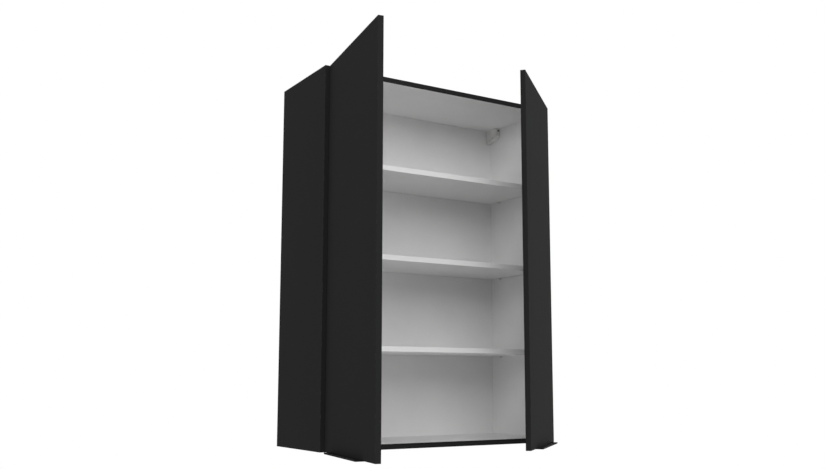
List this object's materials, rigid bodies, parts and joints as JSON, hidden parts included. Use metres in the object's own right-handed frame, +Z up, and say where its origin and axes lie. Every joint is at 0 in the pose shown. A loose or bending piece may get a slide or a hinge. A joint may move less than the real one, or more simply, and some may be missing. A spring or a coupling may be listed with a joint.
{
  "type": "wall cabinet",
  "caption": "Tall kitchen wall cabinet with open slab doors on concealed cup hinges, pin-held shelves, edge grips and adjustable wall hooks.",
  "frame": {"origin": "middle of the cabinet's rear face, on the plane that stands to the wall", "axes": "+X to the cabinet's right seen from the front, +Y towards the wall, +Z up"},
  "size_m": [0.859, 0.6956, 1.075],
  "materials": {
    "dark_board": "matt coated board",
    "pale_board": "matt coated board",
    "grip_black": "satin black",
    "nickel_steel": "nickel plated",
    "zinc_steel": "zinc plated",
    "white_plastic": "moulded plastic",
    "clear_rubber": "soft",
    "beech": "turned beech"
  },
  "bodies": {
    "carcass": {"left_side_panel": "dark_board", "right_side_panel": "dark_board", "top_panel": "dark_board", "bottom_panel": "dark_board", "back_panel": "pale_board", "lower_shelf": "pale_board", "middle_shelf": "pale_board", "upper_shelf": "pale_board", "shelf_pins": "zinc_steel", "cam_bolts": "zinc_steel", "cam_locks": "zinc_steel", "wooden_dowels": "beech", "back_panel_screws": "zinc_steel", "hinge_plate_screws": "zinc_steel", "hinge_arm_screws": "zinc_steel", "hanger_housing_screws": "zinc_steel", "left_hanger_housing": "white_plastic", "right_hanger_housing": "white_plastic", "left_hinge_plates": "nickel_steel", "right_hinge_plates": "nickel_steel", "left_lower_hinge_arm": "nickel_steel", "left_middle_hinge_arm": "nickel_steel", "left_upper_hinge_arm": "nickel_steel", "right_lower_hinge_arm": "nickel_steel", "right_middle_hinge_arm": "nickel_steel", "right_upper_hinge_arm": "nickel_steel"},
    "left_outer_links": {"left_lower_hinge_outer_link": "nickel_steel", "left_middle_hinge_outer_link": "nickel_steel", "left_upper_hinge_outer_link": "nickel_steel"},
    "left_door_leaf": {"left_door": "dark_board", "left_grip": "grip_black", "left_bumpers": "clear_rubber", "left_door_screws": "zinc_steel", "left_lower_hinge_cup": "nickel_steel", "left_middle_hinge_cup": "nickel_steel", "left_upper_hinge_cup": "nickel_steel"},
    "left_inner_links": {"left_lower_hinge_inner_link": "nickel_steel", "left_middle_hinge_inner_link": "nickel_steel", "left_upper_hinge_inner_link": "nickel_steel"},
    "left_hanger_slide": {"left_hanger_carriage": "white_plastic"},
    "left_hanger_hook_lift": {"left_hanger_hook": "zinc_steel"},
    "left_hanger_depth_spindle": {"left_hanger_depth_screw": "zinc_steel"},
    "left_hanger_height_spindle": {"left_hanger_height_screw": "zinc_steel"},
    "right_outer_links": {"right_lower_hinge_outer_link": "nickel_steel", "right_middle_hinge_outer_link": "nickel_steel", "right_upper_hinge_outer_link": "nickel_steel"},
    "right_door_leaf": {"right_door": "dark_board", "right_grip": "grip_black", "right_bumpers": "clear_rubber", "right_door_screws": "zinc_steel", "right_lower_hinge_cup": "nickel_steel", "right_middle_hinge_cup": "nickel_steel", "right_upper_hinge_cup": "nickel_steel"},
    "right_inner_links": {"right_lower_hinge_inner_link": "nickel_steel", "right_middle_hinge_inner_link": "nickel_steel", "right_upper_hinge_inner_link": "nickel_steel"},
    "right_hanger_slide": {"right_hanger_carriage": "white_plastic"},
    "right_hanger_hook_lift": {"right_hanger_hook": "zinc_steel"},
    "right_hanger_depth_spindle": {"right_hanger_depth_screw": "zinc_steel"},
    "right_hanger_height_spindle": {"right_hanger_height_screw": "zinc_steel"}
  },
  "joints": [
    {"name": "left_outer_link_turn", "type": "hinge", "parent": "carcass", "child": "left_outer_links", "pos_m": [-0.36161, -0.27212, 0], "axis": [0, 0, 1], "range_deg": [-21.18, 1.87]},
    {"name": "left_door_swing", "type": "hinge", "parent": "left_outer_links", "child": "left_door_leaf", "pos_m": [-0.3798, -0.30304, 0], "axis": [0, 0, -1], "range_deg": [-120.08, 7.97]},
    {"name": "left_inner_link_turn", "type": "hinge", "parent": "left_door_leaf", "child": "left_inner_links", "pos_m": [-0.37646, -0.30331, 0], "axis": [0, 0, 1], "range_deg": [-126.19, 8.85]},
    {"name": "left_hanger_pull", "type": "slide", "parent": "carcass", "child": "left_hanger_slide", "axis": [0, -1, 0], "range_m": [-0.005, 0.005]},
    {"name": "left_hanger_lift", "type": "slide", "parent": "left_hanger_slide", "child": "left_hanger_hook_lift", "axis": [0, 0, 1], "range_m": [-0.005, 0.005]},
    {"name": "left_hanger_depth_screw_turn", "type": "hinge", "parent": "carcass", "child": "left_hanger_depth_spindle", "pos_m": [-0.376, -0.061, 0.5135], "axis": [0, 1, 0], "range_deg": [-1900, 1900]},
    {"name": "left_hanger_height_screw_turn", "type": "hinge", "parent": "left_hanger_slide", "child": "left_hanger_height_spindle", "pos_m": [-0.37965, -0.02, 0.4955], "axis": [0, 0, 1], "range_deg": [-1900, 1900]},
    {"name": "right_outer_link_turn", "type": "hinge", "parent": "carcass", "child": "right_outer_links", "pos_m": [0.36161, -0.27212, 0], "axis": [0, 0, -1], "range_deg": [-9.03, 14.03]},
    {"name": "right_door_swing", "type": "hinge", "parent": "right_outer_links", "child": "right_door_leaf", "pos_m": [0.3859, -0.29852, 0], "axis": [0, 0, 1], "range_deg": [-49.53, 78.53]},
    {"name": "right_inner_link_turn", "type": "hinge", "parent": "right_door_leaf", "child": "right_inner_links", "pos_m": [0.38392, -0.29581, 0], "axis": [0, 0, -1], "range_deg": [-52.34, 82.69]},
    {"name": "right_hanger_pull", "type": "slide", "parent": "carcass", "child": "right_hanger_slide", "axis": [0, -1, 0], "range_m": [-0.005, 0.005]},
    {"name": "right_hanger_lift", "type": "slide", "parent": "right_hanger_slide", "child": "right_hanger_hook_lift", "axis": [0, 0, 1], "range_m": [-0.005, 0.005]},
    {"name": "right_hanger_depth_screw_turn", "type": "hinge", "parent": "carcass", "child": "right_hanger_depth_spindle", "pos_m": [0.376, -0.061, 0.5135], "axis": [0, 1, 0], "range_deg": [-1900, 1900]},
    {"name": "right_hanger_height_screw_turn", "type": "hinge", "parent": "right_hanger_slide", "child": "right_hanger_height_spindle", "pos_m": [0.37965, -0.02, 0.4955], "axis": [0, 0, 1], "range_deg": [-1900, 1900]}
  ],
  "couplings": [
    {"joint": "left_outer_link_turn", "follows": "left_door_swing", "ratio": 0.17225},
    {"joint": "left_inner_link_turn", "follows": "left_door_swing", "ratio": 1.0467},
    {"joint": "left_hanger_depth_screw_turn", "follows": "left_hanger_pull", "rad_per_m": 6283.2},
    {"joint": "left_hanger_height_screw_turn", "follows": "left_hanger_lift", "rad_per_m": 6283.2},
    {"joint": "right_outer_link_turn", "follows": "right_door_swing", "ratio": 0.17225},
    {"joint": "right_inner_link_turn", "follows": "right_door_swing", "ratio": 1.0467},
    {"joint": "right_hanger_depth_screw_turn", "follows": "right_hanger_pull", "rad_per_m": 6283.2},
    {"joint": "right_hanger_height_screw_turn", "follows": "right_hanger_lift", "rad_per_m": 6283.2}
  ]
}
